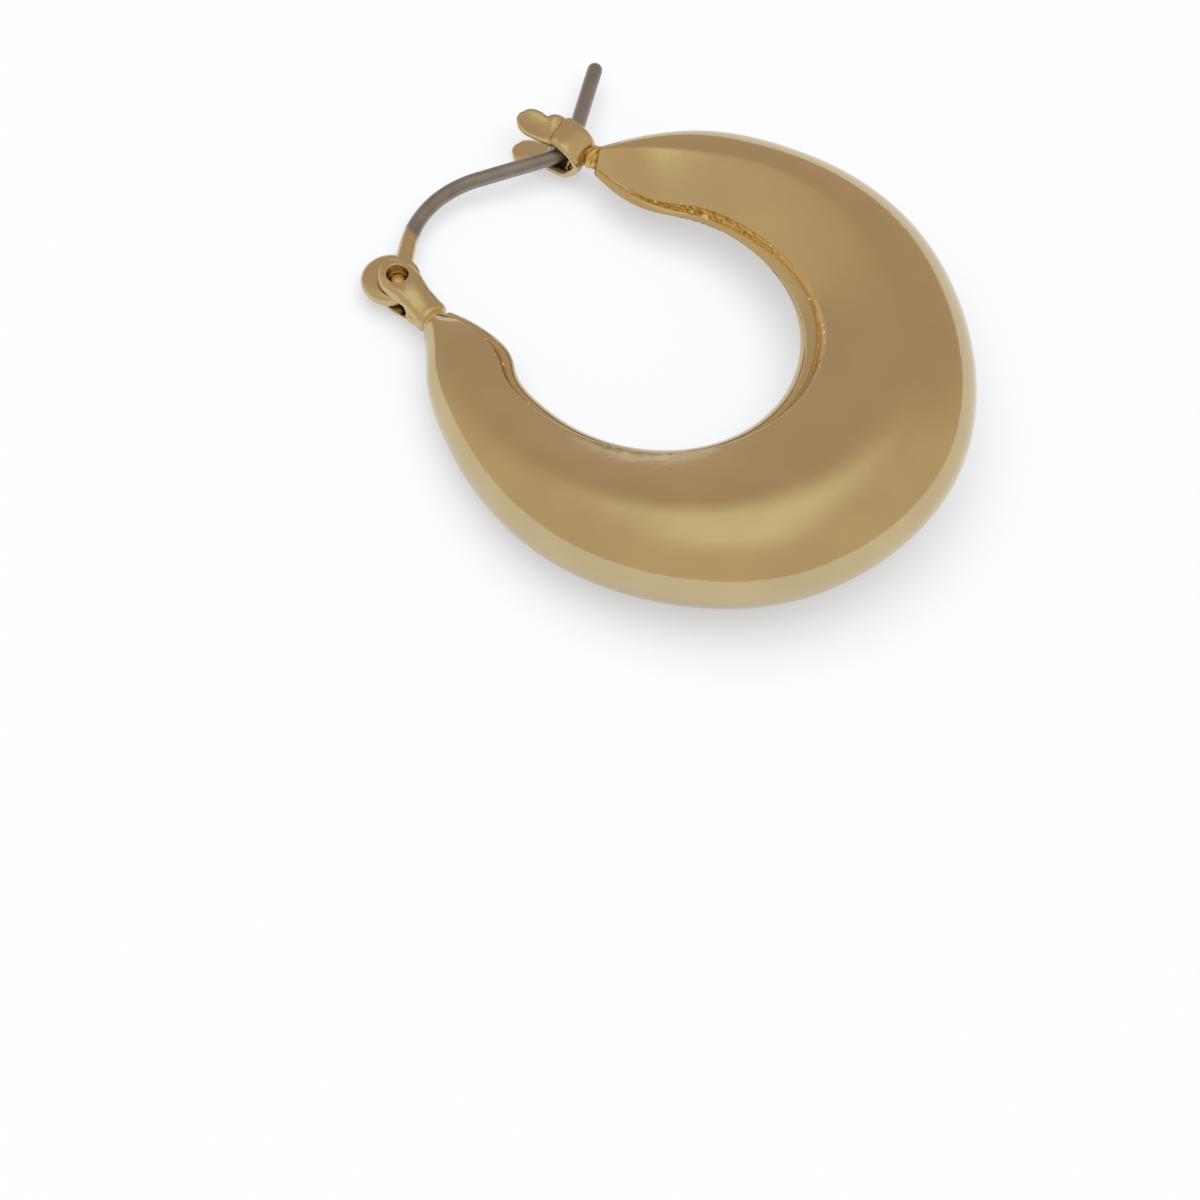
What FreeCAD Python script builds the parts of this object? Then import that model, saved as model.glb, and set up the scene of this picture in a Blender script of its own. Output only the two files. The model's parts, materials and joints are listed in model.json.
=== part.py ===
"""Creole hoop earring: a hollow puffed crescent with a hinged ear wire and a folded catch.

Units are millimetres. The earring is first drawn flat, with the middle plane of the hoop at z = 0,
+Y towards the gap that the ear wire closes and +X towards the catch. It is then laid down as it
rests on a table: on the underside of its thick belly and on the underside of the hinge and catch.
"""
import FreeCAD, Part
import math
import os

Vector = FreeCAD.Vector

# Outline of the crescent, in the middle plane
OUTER_HALF_X = 15.15
OUTER_HALF_Y = 16.78
HOLE_HALF_X = 8.1
HOLE_HALF_Y = 9.0
HOLE_CENTRE_Y = 3.55
SHOULDER_ANGLE = 128.0
CURVED_STATIONS = 8

# Each end of the crescent: where its outer edge leaves the ellipse, inwards where the shift is positive,
# and its last sections, as distances from the middle line
HINGE_END = {
    "side": -1,
    "shifts": [
        {"start": 0.0, "span": 40.0, "inwards": -0.42},
        {"start": 75.0, "span": 51.0, "inwards": 0.92},
    ],
    "neck_tip": (-7.78, 13.35),
    "sections": [
        {"outer_x": 9.70, "outer_y": 12.00, "inner_x": 6.50, "inner_y": 12.00, "half_thickness": 1.42},
        {"outer_x": 8.85, "outer_y": 13.00, "inner_x": 6.80, "inner_y": 13.10, "half_thickness": 0.98},
    ],
}
CATCH_END = {
    "side": 1,
    "shifts": [
        {"start": 5.0, "span": 30.0, "inwards": 0.15},
        {"start": 45.0, "span": 50.0, "inwards": -0.85},
    ],
    "neck_tip": (6.88, 14.62),
    "sections": [
        {"outer_x": 8.95, "outer_y": 13.50, "inner_x": 5.98, "inner_y": 12.10, "half_thickness": 1.42},
        {"outer_x": 7.85, "outer_y": 14.20, "inner_x": 6.12, "inner_y": 13.30, "half_thickness": 1.00},
    ],
}

# Section of the crescent
BELLY_HALF_THICKNESS = 3.7
TAPER_POWER = 0.42
BEVEL_WIDTH = 1.25
BEVEL_TAPER_POWER = 0.6
BEVEL_BULGE = 0.1
CREASE_HEIGHT_RATIO = 0.25
CREST_RATIO = 0.52
DOME_LEAN = 0.12
DOME_RISE = 0.59
DOME_FULLNESS = 0.47
OUTER_FULLNESS = 0.57
WALL = 0.4
CAVITY_END_STATIONS = 1

# How far the cavity keeps inside the skin at the inner edge and at the crease, in walls
EDGE_INSET = 1.5
CREASE_INSET_U = 0.75
CREASE_INSET_Z = 0.6

# Laying down
FITTINGS_Y = 12.0
RESTING_ROUNDS = 8
MESH_STEP = 0.02

# Necks between the crescent and its fittings
NECK_RADIUS = 0.82
SHOULDER_LENGTH = 0.18
SHOULDER_SCALE = 0.75
NECK_ROOT = 0.4

# Hinge
PIN_CENTRE = (-7.35, 16.40)
PIN_RADIUS = 0.42
PIN_HALF_LENGTH = 0.9
PIN_CHAMFER = 0.15
PIN_CLEARANCE = 0.03
FORK_BASE = (-7.68, 13.75)
FORK_TIP_RADIUS = 1.2
FORK_BASE_RADIUS = 1.0
FORK_HALF_HEIGHT = 1.2
FORK_NECK_HALF_HEIGHT = 0.75
FORK_TAPER_START = 1.5
FORK_TAPER_END = 2.9
FORK_SLOT_HALF = 0.52
FORK_SLOT_DEPTH = 2.4
FORK_SINK_RADIUS = 0.62
EYE_CENTRE = (-7.33, 17.0)
EYE_RADIUS = 1.75
EYE_HALF_HEIGHT = 0.45
EYE_ROUNDING = 0.36

# Ear wire: corners of the route of its centre line, and the radius of the bend at each
WIRE_RADIUS = 0.45
CROWN = (-1.855, 19.95)
CROWN_RADIUS = 6.1
KINK = (6.35, 15.66)
KINK_RADIUS = 2.8
TIP = (12.35, 18.95)

# Catch: a strip folded in two, open away from the hoop
CATCH_ORIGIN = (6.46, 15.8)
CATCH_LEAN = 8.0
CATCH_WIDTH = 2.2
CATCH_SHEET = 0.42
CATCH_PROFILE = [
    {"along": -0.40, "height": 0.80},
    {"along": -0.10, "height": 0.87},
    {"along": 0.15, "height": 0.87},
    {"along": 0.48, "height": 0.72},
    {"along": 1.80, "height": 0.98},
    {"along": 4.20, "height": 1.42},
]
CATCH_THROAT = 0.5
CATCH_WAIST = 0.88
CATCH_LIP_CENTRE = (5.62, 18.1)
CATCH_LIP_RADIUS = 0.92
CATCH_SLANT = 0.2


def unit(x, y):
    length = math.hypot(x, y)
    return x / length, y / length


def hole_point(angle):
    a = math.radians(angle)
    return HOLE_HALF_X * math.sin(a), HOLE_CENTRE_Y - HOLE_HALF_Y * math.cos(a)


def smooth_step(t):
    t = min(max(t, 0.0), 1.0)
    return t * t * (3 - 2 * t)


def station(outer, inner, half_thickness):
    """A section of the crescent: where it starts and points, how wide and how thick it is."""
    taper = half_thickness / BELLY_HALF_THICKNESS
    return {
        "inner": inner,
        "across": unit(outer[0] - inner[0], outer[1] - inner[1]),
        "width": math.dist(outer, inner),
        "height": half_thickness,
        "bevel": BEVEL_WIDTH * taper ** BEVEL_TAPER_POWER,
    }


def curved_station(angle, end):
    """Section at an angle from the belly, between the outer and the inner ellipse."""
    a = math.radians(angle)
    outer = (OUTER_HALF_X * math.sin(a), -OUTER_HALF_Y * math.cos(a))
    inner = hole_point(angle)
    shift = sum(s["inwards"] * smooth_step((angle - s["start"]) / s["span"]) for s in end["shifts"])
    across = unit(outer[0] - inner[0], outer[1] - inner[1])
    outer = (outer[0] - shift * across[0], outer[1] - shift * across[1])
    nearness = (1 + math.cos(a)) / 2
    return station(outer, inner, BELLY_HALF_THICKNESS * nearness ** TAPER_POWER)


def end_station(row):
    outer = (row["outer_x"], row["outer_y"])
    inner = (row["inner_x"], row["inner_y"])
    return station(outer, inner, row["half_thickness"])


def place(st, side, u, z):
    x = st["inner"][0] + u * st["across"][0]
    y = st["inner"][1] + u * st["across"][1]
    return Vector(side * x, y, z)


def bezier(poles):
    curve = Part.BezierCurve()
    curve.setPoles(poles)
    return curve.toShape()


def section(st, side, wall):
    """Closed outline of a section, drawn inside the skin by the given wall."""
    width = st["width"] - wall
    height = st["height"] - wall
    inner_u = EDGE_INSET * wall
    crease_u = st["bevel"] + CREASE_INSET_U * wall
    crease_z = CREASE_HEIGHT_RATIO * st["height"] - CREASE_INSET_Z * wall
    crest_u = st["bevel"] + CREST_RATIO * (st["width"] - st["bevel"])
    dome_run = crest_u - crease_u
    rim_run = width - crest_u

    def upper(sign):
        def spot(u, z):
            return place(st, side, u, sign * z)

        bulge = BEVEL_BULGE * (crease_u - inner_u)
        middle = spot((inner_u + crease_u) / 2 - bulge, crease_z / 2 + bulge)
        bevel = Part.Arc(spot(inner_u, 0), middle, spot(crease_u, crease_z))
        dome = [
            spot(crease_u, crease_z),
            spot(crease_u + DOME_LEAN * dome_run, crease_z + DOME_RISE * (height - crease_z)),
            spot(crest_u - DOME_FULLNESS * dome_run, height),
            spot(crest_u, height),
        ]
        rim = [
            spot(crest_u, height),
            spot(crest_u + OUTER_FULLNESS * rim_run, height),
            spot(width, OUTER_FULLNESS * height),
            spot(width, 0),
        ]
        return [bevel.toShape(), bezier(dome), bezier(rim)]

    top = upper(1)
    bottom = upper(-1)
    return Part.Wire(top + bottom[::-1])


def half_crescent(end):
    """Sections from beside the belly to one end, each with its side of the middle line."""
    angles = [SHOULDER_ANGLE * i / CURVED_STATIONS for i in range(1, CURVED_STATIONS + 1)]
    rows = [curved_station(angle, end) for angle in angles]
    rows += [end_station(row) for row in end["sections"]]
    return [(row, end["side"]) for row in rows]


def crescent(wall, skipped):
    belly = (curved_station(0.0, CATCH_END), 1)
    rows = half_crescent(HINGE_END)[::-1] + [belly] + half_crescent(CATCH_END)
    rows = rows[skipped:len(rows) - skipped]
    wires = [section(st, side, wall) for st, side in rows]
    return Part.makeLoft(wires, True, False)


def direction(start, end):
    ux, uy = unit(end[0] - start[0], end[1] - start[1])
    return Vector(ux, uy, 0)


def flat(point, z=0.0):
    return Vector(point[0], point[1], z)


def neck(end):
    """Rounded shoulder of one end of the crescent, and the short rod soldered into it."""
    side = end["side"]
    st = end_station(end["sections"][-1])
    middle = place(st, side, st["width"] / 2, 0)
    across = Vector(side * st["across"][0], st["across"][1], 0)
    forward = Vector(-side * across.y, side * across.x, 0)
    rim = section(st, side, 0.0)
    cap = rim.copy()
    cap.scale(SHOULDER_SCALE, middle)
    cap.translate(forward * SHOULDER_LENGTH)
    shoulder = Part.makeLoft([rim, cap], True, True)
    root = middle - forward * NECK_ROOT
    reach = flat(end["neck_tip"]) - root
    rod = Part.makeCylinder(NECK_RADIUS, reach.Length, root, reach)
    return shoulder.fuse(rod)


def plate(face, half_height, slant=0.0):
    """Plate with the outline of a face drawn at z = 0, leaning towards +X by the slant."""
    face.translate(Vector(-slant * half_height, 0, -half_height))
    return face.extrude(Vector(2 * slant * half_height, 0, 2 * half_height))


def capsule_plate(start, end, start_radius, end_radius, half_height, slant=0.0):
    """Plate whose outline is the hull of two circles."""
    a = flat(start)
    b = flat(end)
    along = direction(start, end)
    sine = (start_radius - end_radius) / (b - a).Length
    cosine = math.sqrt(1 - sine ** 2)
    square = Vector(-along.y, along.x, 0)
    left = along * sine + square * cosine
    right = along * sine - square * cosine
    edges = [
        Part.LineSegment(a + left * start_radius, b + left * end_radius).toShape(),
        Part.Arc(b + left * end_radius, b + along * end_radius, b + right * end_radius).toShape(),
        Part.LineSegment(b + right * end_radius, a + right * start_radius).toShape(),
        Part.Arc(a + right * start_radius, a - along * start_radius, a + left * start_radius).toShape(),
    ]
    return plate(Part.Face(Part.Wire(edges)), half_height, slant)


def side_profile(points, origin, along, half_width):
    """Solid with the given outline seen from the side: each point is a distance along and a height."""
    square = Vector(-along.y, along.x, 0)
    corners = [origin + along * s + Vector(0, 0, z) - square * half_width for s, z in points]
    face = Part.Face(Part.makePolygon(corners + corners[:1]))
    return face.extrude(square * (2 * half_width))


def rod_hole(centre, radius, half_height):
    return Part.makeCylinder(radius, 2 * half_height, flat(centre, -half_height))


def hinge_fork():
    """Two round ears on a common base that tapers to the neck."""
    plan = capsule_plate(PIN_CENTRE, FORK_BASE, FORK_TIP_RADIUS, FORK_BASE_RADIUS, FORK_HALF_HEIGHT)
    along = direction(PIN_CENTRE, FORK_BASE)
    pin = flat(PIN_CENTRE)
    low = FORK_NECK_HALF_HEIGHT
    tail = math.dist(PIN_CENTRE, FORK_BASE) + 2 * FORK_BASE_RADIUS
    taper = [
        (-2 * FORK_TIP_RADIUS, FORK_HALF_HEIGHT),
        (FORK_TAPER_START, FORK_HALF_HEIGHT),
        (FORK_TAPER_END, low),
        (tail, low),
        (tail, -low),
        (FORK_TAPER_END, -low),
        (FORK_TAPER_START, -FORK_HALF_HEIGHT),
        (-2 * FORK_TIP_RADIUS, -FORK_HALF_HEIGHT),
    ]
    slot = [
        (-2 * FORK_TIP_RADIUS, FORK_SLOT_HALF),
        (FORK_SLOT_DEPTH, FORK_SLOT_HALF),
        (FORK_SLOT_DEPTH, -FORK_SLOT_HALF),
        (-2 * FORK_TIP_RADIUS, -FORK_SLOT_HALF),
    ]
    fork = plan.common(side_profile(taper, pin, along, 2 * FORK_TIP_RADIUS))
    fork = fork.cut(side_profile(slot, pin, along, 2 * FORK_TIP_RADIUS))
    fork = fork.cut(rod_hole(PIN_CENTRE, PIN_RADIUS + PIN_CLEARANCE, FORK_HALF_HEIGHT + 1))
    sink_depth = FORK_HALF_HEIGHT - PIN_HALF_LENGTH
    for sign in (1, -1):
        sink = Part.makeCone(
            FORK_SINK_RADIUS, PIN_RADIUS + PIN_CLEARANCE, sink_depth,
            flat(PIN_CENTRE, sign * FORK_HALF_HEIGHT), Vector(0, 0, -sign),
        )
        fork = fork.cut(sink)
    return fork


def hinge_pin():
    pin = rod_hole(PIN_CENTRE, PIN_RADIUS, PIN_HALF_LENGTH)
    return pin.makeChamfer(PIN_CHAMFER, pin.Edges[:1] + pin.Edges[2:])


def bent_rod(corners, radii, radius):
    """Round rod along straight runs joined by tangent arcs."""
    points = [flat(corner) for corner in corners]
    edges = []
    last = points[0]
    for before, corner, after, bend in zip(points, points[1:], points[2:], radii):
        back = (before - corner).normalize()
        ahead = (after - corner).normalize()
        half = back.getAngle(ahead) / 2
        reach = bend / math.tan(half)
        centre = corner + (back + ahead).normalize() * (bend / math.sin(half))
        start = corner + back * reach
        stop = corner + ahead * reach
        middle = centre + (corner - centre).normalize() * bend
        edges.append(Part.LineSegment(last, start).toShape())
        edges.append(Part.Arc(start, middle, stop).toShape())
        last = stop
    edges.append(Part.LineSegment(last, points[-1]).toShape())
    path = Part.Wire(edges)
    first = (points[1] - points[0]).normalize()
    ring = Part.Wire([Part.makeCircle(radius, points[0], first)])
    return path.makePipeShell([ring], True, True)


def ear_wire():
    """Bent wire with a round eye that turns on the pin."""
    stop = flat(KINK) + direction(KINK, TIP) * (math.dist(KINK, TIP) - WIRE_RADIUS)
    rod = bent_rod([PIN_CENTRE, CROWN, KINK, (stop.x, stop.y)], [CROWN_RADIUS, KINK_RADIUS], WIRE_RADIUS)
    end = Part.makeSphere(WIRE_RADIUS, stop)
    eye = rod_hole(EYE_CENTRE, EYE_RADIUS, EYE_HALF_HEIGHT)
    eye = eye.makeFillet(EYE_ROUNDING, eye.Edges[:1] + eye.Edges[2:])
    wire = rod.fuse([end, eye])
    return wire.cut(rod_hole(PIN_CENTRE, PIN_RADIUS + PIN_CLEARANCE, 2 * EYE_HALF_HEIGHT)).removeSplitter()


def catch():
    """Strip folded in two round the wire, pinched to a throat and flared into two round lips."""
    lean = math.radians(CATCH_LEAN)
    along = Vector(-math.sin(lean), math.cos(lean), 0)
    origin = flat(CATCH_ORIGIN)

    def outline(offset):
        return [(row["along"], row["height"] + offset) for row in CATCH_PROFILE]

    outer = outline(CATCH_SHEET / 2)
    inner = outline(-CATCH_SHEET / 2)
    back = CATCH_PROFILE[0]["along"]
    fold = CATCH_PROFILE[0]["height"]
    half = CATCH_WIDTH / 2
    square = Vector(-along.y, along.x, 0)

    def spot(s, z):
        return origin + along * s + Vector(0, 0, z) - square * CATCH_WIDTH

    def run(points):
        corners = [spot(s, z) for s, z in points]
        return [Part.LineSegment(a, b).toShape() for a, b in zip(corners, corners[1:])]

    def turn(radius, sign):
        return Part.Arc(spot(back, sign * radius), spot(back - radius, 0), spot(back, -sign * radius)).toShape()

    edges = run(outer)
    edges += run([outer[-1], inner[-1]])
    edges += run(inner[::-1])
    edges.append(turn(fold - CATCH_SHEET / 2, 1))
    edges += run([(s, -z) for s, z in inner])
    edges += run([(inner[-1][0], -inner[-1][1]), (outer[-1][0], -outer[-1][1])])
    edges += run([(s, -z) for s, z in outer[::-1]])
    edges.append(turn(fold + CATCH_SHEET / 2, -1))
    strip = Part.Face(Part.Wire(edges)).extrude(square * 2 * CATCH_WIDTH)
    root = origin + along * (back - 2 * fold)
    throat = origin + along * CATCH_THROAT
    tall = 2 * CATCH_PROFILE[-1]["height"]
    corners = [root - square * half, root + square * half, throat + square * half, throat - square * half]
    hump = plate(Part.Face(Part.makePolygon(corners + corners[:1])), tall, CATCH_SLANT)
    lobe = capsule_plate(
        (throat.x, throat.y), CATCH_LIP_CENTRE, CATCH_WAIST, CATCH_LIP_RADIUS, tall, CATCH_SLANT,
    )
    return strip.common(hump.fuse(lobe))


def resting_placement(points):
    """Turn that lays the earring on three feet: its belly, its hinge and its catch."""
    groups = [
        [p for p in points if p.y < 0],
        [p for p in points if p.y > FITTINGS_Y and p.x < 0],
        [p for p in points if p.y > FITTINGS_Y and p.x > 0],
    ]
    up = Vector(0, 0, 1)
    for _ in range(RESTING_ROUNDS):
        belly, hinge, clasp = (min(group, key=lambda p: p.dot(up)) for group in groups)
        up = (clasp - belly).cross(hinge - belly).normalize()
    turn = FreeCAD.Rotation(up, Vector(0, 0, 1))
    turned = [turn.multVec(p) for p in points]
    low, high = ([pick(p[i] for p in turned) for i in range(3)] for pick in (min, max))
    drop = Vector(-(low[0] + high[0]) / 2, -(low[1] + high[1]) / 2, -low[2])
    return FreeCAD.Placement(drop, turn)


def main():
    os.makedirs("parts", exist_ok=True)
    skin = crescent(0.0, 0)
    cavity = crescent(WALL, CAVITY_END_STATIONS)
    hoop = skin.cut(cavity)
    hoop = hoop.fuse([neck(HINGE_END), neck(CATCH_END), hinge_fork(), catch()])
    nodes = {"hoop_body": hoop, "ear_wire": ear_wire(), "hinge_pin": hinge_pin()}
    points = [p for shape in nodes.values() for p in shape.tessellate(MESH_STEP)[0]]
    lying = resting_placement(points)
    axis = lying.Rotation.multVec(Vector(0, 0, 1))
    print("lying placement", lying, "hinge axis", axis, "pin", lying.multVec(flat(PIN_CENTRE)))
    for name, shape in nodes.items():
        laid = shape.copy()
        laid.transformShape(lying.Matrix)
        print(name, laid.isValid(), len(laid.Solids), round(laid.Volume, 2))
        laid.exportStep("parts/%s.step" % name)


main()
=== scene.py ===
import json
import math

import bmesh
import bpy
import numpy as np
from mathutils import Matrix, Vector


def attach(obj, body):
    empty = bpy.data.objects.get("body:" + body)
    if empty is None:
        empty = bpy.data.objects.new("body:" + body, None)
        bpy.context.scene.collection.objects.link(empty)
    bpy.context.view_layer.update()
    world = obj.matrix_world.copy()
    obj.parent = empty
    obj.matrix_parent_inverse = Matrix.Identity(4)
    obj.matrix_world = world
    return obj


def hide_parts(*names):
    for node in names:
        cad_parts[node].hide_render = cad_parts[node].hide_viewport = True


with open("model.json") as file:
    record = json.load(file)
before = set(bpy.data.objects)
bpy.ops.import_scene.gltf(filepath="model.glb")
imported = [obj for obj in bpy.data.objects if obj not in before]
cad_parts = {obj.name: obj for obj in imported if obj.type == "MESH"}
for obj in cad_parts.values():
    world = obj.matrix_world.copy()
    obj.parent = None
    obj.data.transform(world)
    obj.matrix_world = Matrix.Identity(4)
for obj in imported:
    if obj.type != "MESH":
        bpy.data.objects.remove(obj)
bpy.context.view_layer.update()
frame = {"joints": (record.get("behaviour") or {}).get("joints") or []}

# Shape of the part, in millimetres, with the hoop flat in the plane z = 0 and the catch towards +X
OUTER_HALF_X = 15.15
OUTER_HALF_Y = 16.78
HOLE_HALF_X = 8.1
HOLE_HALF_Y = 9.0
HOLE_CENTRE_Y = 3.55
SHOULDER_ANGLE = 128.0
CURVED_STATIONS = 8
HINGE_END = {
    "side": -1,
    "shifts": [(0.0, 40.0, -0.42), (75.0, 51.0, 0.92)],
    "sections": [((9.70, 12.00), (6.50, 12.00), 1.42), ((8.85, 13.00), (6.80, 13.10), 0.98)],
}
CATCH_END = {
    "side": 1,
    "shifts": [(5.0, 30.0, 0.15), (45.0, 50.0, -0.85)],
    "sections": [((8.95, 13.50), (5.98, 12.10), 1.42), ((7.85, 14.20), (6.12, 13.30), 1.00)],
}
BELLY_HALF_THICKNESS = 3.7
TAPER_POWER = 0.42
BEVEL_WIDTH = 1.25
BEVEL_TAPER_POWER = 0.6
BEVEL_BULGE = 0.08
CREASE_HEIGHT_RATIO = 0.25
CREST_RATIO = 0.52
RISER_SLOPE = 65.0
KNEE_RATIO = 0.8
OUTER_FULLNESS = 0.57
PIN_CENTRE = (-7.35, 16.40)
PIN_RADIUS = 0.42
PIN_CLEARANCE = 0.03
EYE_CENTRE = (-7.33, 17.0)
EYE_RADIUS = 1.75
EYE_HALF_HEIGHT = 0.45
WIRE_RADIUS = 0.45
CROWN = (-1.855, 19.95)
CROWN_RADIUS = 6.1
KINK = (6.35, 15.66)
KINK_RADIUS = 2.8
TIP = (12.35, 18.95)

# Camera, as seen from the flat hoop
VIEW_RISE = 53.7
VIEW_TURN = 48.2
VIEW_DISTANCE = 300.0
FOCAL_PIXELS = 5265.0
FRAME_PIXELS = 1200.0
CENTRE_RIGHT = 95.9
CENTRE_UP = 238.0

MM = 0.001

joint = frame["joints"][0]
turn = Vector((0, 0, 1)).rotation_difference(Vector(joint["axis"]))
shift = Vector(joint["pos_m"]) - turn @ (Vector((*PIN_CENTRE, 0)) * MM)
lay = Matrix.Translation(shift) @ turn.to_matrix().to_4x4() @ Matrix.Scale(MM, 4)
rng = np.random.default_rng(7)


def flat(point, z=0.0):
    return Vector((point[0], point[1], z))


def finished(name, bm):
    """Object made of a mesh drawn in the flat hoop's millimetres."""
    bmesh.ops.recalc_face_normals(bm, faces=bm.faces)
    mesh = bpy.data.meshes.new(name)
    bm.to_mesh(mesh)
    bm.free()
    mesh.transform(lay)
    for poly in mesh.polygons:
        poly.use_smooth = True
    obj = bpy.data.objects.new(name, mesh)
    bpy.context.scene.collection.objects.link(obj)
    return obj


def bridge(bm, rings, closed=False):
    """Quads between rings of vertices."""
    pairs = list(zip(rings, rings[1:]))
    if closed:
        pairs.append((rings[-1], rings[0]))
    for a, b in pairs:
        for j in range(len(a)):
            k = (j + 1) % len(a)
            bm.faces.new((a[j], a[k], b[k], b[j]))


def skin(bm, rings):
    """Closed skin over rings of points, with a flat cap at each end."""
    rows = [[bm.verts.new(p) for p in ring] for ring in rings]
    bridge(bm, rows)
    bm.faces.new(rows[0][::-1])
    bm.faces.new(rows[-1])


def smooth_step(t):
    t = min(max(t, 0.0), 1.0)
    return t * t * (3 - 2 * t)


def squared(angle, power):
    """Cosine and sine of a rounded box: power 1 gives a circle, less gives a box."""
    return [math.copysign(abs(v) ** power, v) for v in (math.cos(angle), math.sin(angle))]


# Camera
def set_camera():
    rise, turned = math.radians(VIEW_RISE), math.radians(VIEW_TURN)
    right = Vector((math.cos(turned), -math.sin(turned), 0))
    up = Vector((math.sin(turned) * math.sin(rise), math.cos(turned) * math.sin(rise), math.cos(rise)))
    back = right.cross(up)
    aim = Vector((CENTRE_RIGHT, CENTRE_UP, -FOCAL_PIXELS)).rotation_difference(Vector((0, 0, -1)))
    axes = Matrix((right, up, back)).transposed() @ aim.to_matrix()
    place = lay @ (back * VIEW_DISTANCE)
    data = bpy.data.cameras.new("camera")
    data.sensor_width = 36.0
    data.lens = FOCAL_PIXELS / FRAME_PIXELS * data.sensor_width
    data.clip_start = 0.01
    data.clip_end = 10.0
    camera = bpy.data.objects.new("camera", data)
    camera.matrix_world = Matrix.Translation(place) @ (turn.to_matrix() @ axes).to_4x4()
    bpy.context.scene.collection.objects.link(camera)
    bpy.context.scene.camera = camera


# Crescent
def station(outer, inner, half_thickness):
    outer, inner = np.array(outer), np.array(inner)
    width = float(np.linalg.norm(outer - inner))
    bevel = BEVEL_WIDTH * (half_thickness / BELLY_HALF_THICKNESS) ** BEVEL_TAPER_POWER
    across = (outer - inner) / width
    return {"inner": inner, "across": across, "width": width, "height": half_thickness, "bevel": bevel}


def curved_station(angle, end):
    a = math.radians(angle)
    outer = np.array((OUTER_HALF_X * math.sin(a), -OUTER_HALF_Y * math.cos(a)))
    inner = np.array((HOLE_HALF_X * math.sin(a), HOLE_CENTRE_Y - HOLE_HALF_Y * math.cos(a)))
    inwards = sum(amount * smooth_step((angle - start) / span) for start, span, amount in end["shifts"])
    outer = outer - inwards * (outer - inner) / np.linalg.norm(outer - inner)
    return station(outer, inner, BELLY_HALF_THICKNESS * ((1 + math.cos(a)) / 2) ** TAPER_POWER)


def bezier(poles, places):
    rows = []
    for t in places:
        level = [np.array(p, float) for p in poles]
        while len(level) > 1:
            level = [a + (b - a) * t for a, b in zip(level, level[1:])]
        rows.append(level[0])
    return rows


BEVEL_PLACES = np.append([0, 0.015], np.arange(1, 8) / 8)
RISER_PLACES = np.arange(8) / 8
DOME_PLACES = (np.arange(30) / 30) ** 1.2
RIM_PLACES = np.arange(26) / 26
CREASE = len(BEVEL_PLACES)
BROW = CREASE + len(RISER_PLACES)


# Bevel and solder seam along the inside of the hoop, from the hinge end (0) to the catch end (1)
SEAM_SHARES = (0.0, 0.12, 0.22, 0.3, 0.4, 0.47, 0.55, 0.6, 0.65, 0.7, 0.77, 0.83, 0.89, 0.94, 1.0)
BEVEL_SCALES = (0.9, 0.9, 0.8, 0.75, 0.75, 0.8, 0.86, 0.86, 0.9, 0.8, 0.5, 0.32, 0.32, 0.5, 0.7)
RISER_WIDTHS = (0.85, 0.48, 0.45, 0.45, 0.45, 0.48, 0.5, 0.45, 0.2, 0.15, 0.28, 0.42, 0.4, 0.2, 0.12)


def outline(st):
    """Half of a section, from the inner edge to the rim, as distances across and heights."""
    width, height = st["width"], st["height"]
    bevel, riser = (np.interp(st["share"], SEAM_SHARES, values) for values in (BEVEL_SCALES, RISER_WIDTHS))
    crease_u, crease_z = st["bevel"] * bevel, CREASE_HEIGHT_RATIO * height * bevel
    crest_u = st["bevel"] + CREST_RATIO * (width - st["bevel"])
    rim_run = width - crest_u
    brow_u = crease_u + riser * height / BELLY_HALF_THICKNESS
    brow_z = crease_z + (brow_u - crease_u) * math.tan(math.radians(RISER_SLOPE))
    knee_u = brow_u + KNEE_RATIO * (crest_u - brow_u)
    bulge = BEVEL_BULGE * crease_u
    swell = (crease_u / 2 - 2 * bulge, crease_z / 2 + 2 * bulge)
    half = bezier([(0, 0), swell, (crease_u, crease_z)], BEVEL_PLACES)
    half += bezier([(crease_u, crease_z), (brow_u, brow_z)], RISER_PLACES)
    half += bezier([(brow_u, brow_z), (knee_u, height), (crest_u, height)], DOME_PLACES)
    half += bezier([
        (crest_u, height),
        (crest_u + OUTER_FULLNESS * rim_run, height),
        (width, OUTER_FULLNESS * height),
        (width, 0),
    ], RIM_PLACES)
    return half + [np.array((width, 0.0))]


def ring(st, side):
    half = outline(st)
    loop = half + [p * (1, -1) for p in half[-2:0:-1]]
    u, z = np.array(loop).T
    spots = st["inner"] + u[:, None] * st["across"]
    return np.column_stack((side * spots[:, 0], spots[:, 1], z))


def spline(knots, values, places):
    """Natural cubic spline through rows of values."""
    h = np.diff(knots)
    n = len(knots)
    matrix = np.eye(n)
    right = np.zeros((n,) + values.shape[1:])
    for i in range(1, n - 1):
        matrix[i, i - 1:i + 2] = h[i - 1], 2 * (h[i - 1] + h[i]), h[i]
        right[i] = 6 * ((values[i + 1] - values[i]) / h[i] - (values[i] - values[i - 1]) / h[i - 1])
    bend = np.linalg.solve(matrix, right.reshape(n, -1)).reshape(right.shape)
    k = np.clip(np.searchsorted(knots, places, side="right") - 1, 0, n - 2)
    shape = (-1,) + (1,) * (values.ndim - 1)
    a = ((knots[k + 1] - places) / h[k]).reshape(shape)
    b = 1 - a
    step = (h[k] ** 2).reshape(shape) / 6
    return a * values[k] + b * values[k + 1] + ((a ** 3 - a) * bend[k] + (b ** 3 - b) * bend[k + 1]) * step


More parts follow.
